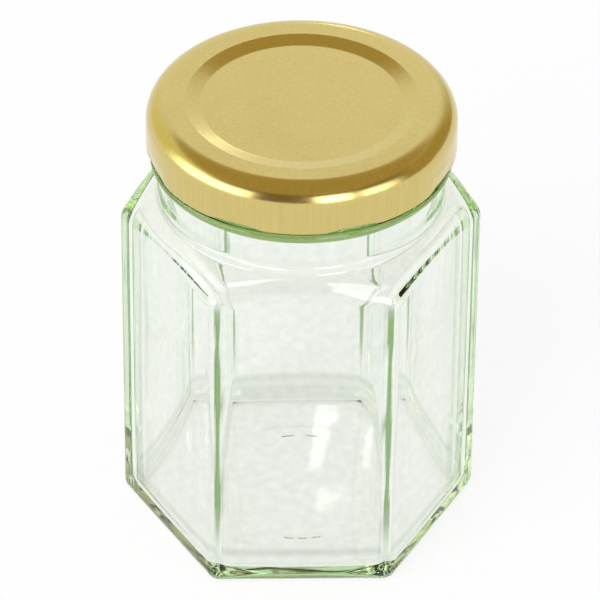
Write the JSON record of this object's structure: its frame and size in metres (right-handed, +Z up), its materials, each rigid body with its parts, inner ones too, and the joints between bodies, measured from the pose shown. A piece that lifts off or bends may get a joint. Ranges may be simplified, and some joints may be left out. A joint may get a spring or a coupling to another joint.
{
  "type": "hexagonal preserving jar",
  "caption": "Empty hexagonal clear glass preserving jar with a sloping shoulder, a round neck and a gold twist-off metal lid.",
  "frame": {"origin": "middle of the base, on the plane that the jar stands on", "axes": "+Z up through the middle of the lid; two flat sides face -Y and +Y, two upright edges lie on the X axis"},
  "size_m": [0.0764, 0.067, 0.1042],
  "materials": {
    "glass": "clear soda-lime glass with a faint green tint, glossy",
    "gold_lid": "satin gold lacquer on tinplate with a fine rolled grain"
  },
  "bodies": {
    "root": {"jar": "glass", "lid": "gold_lid"}
  },
  "joints": []
}
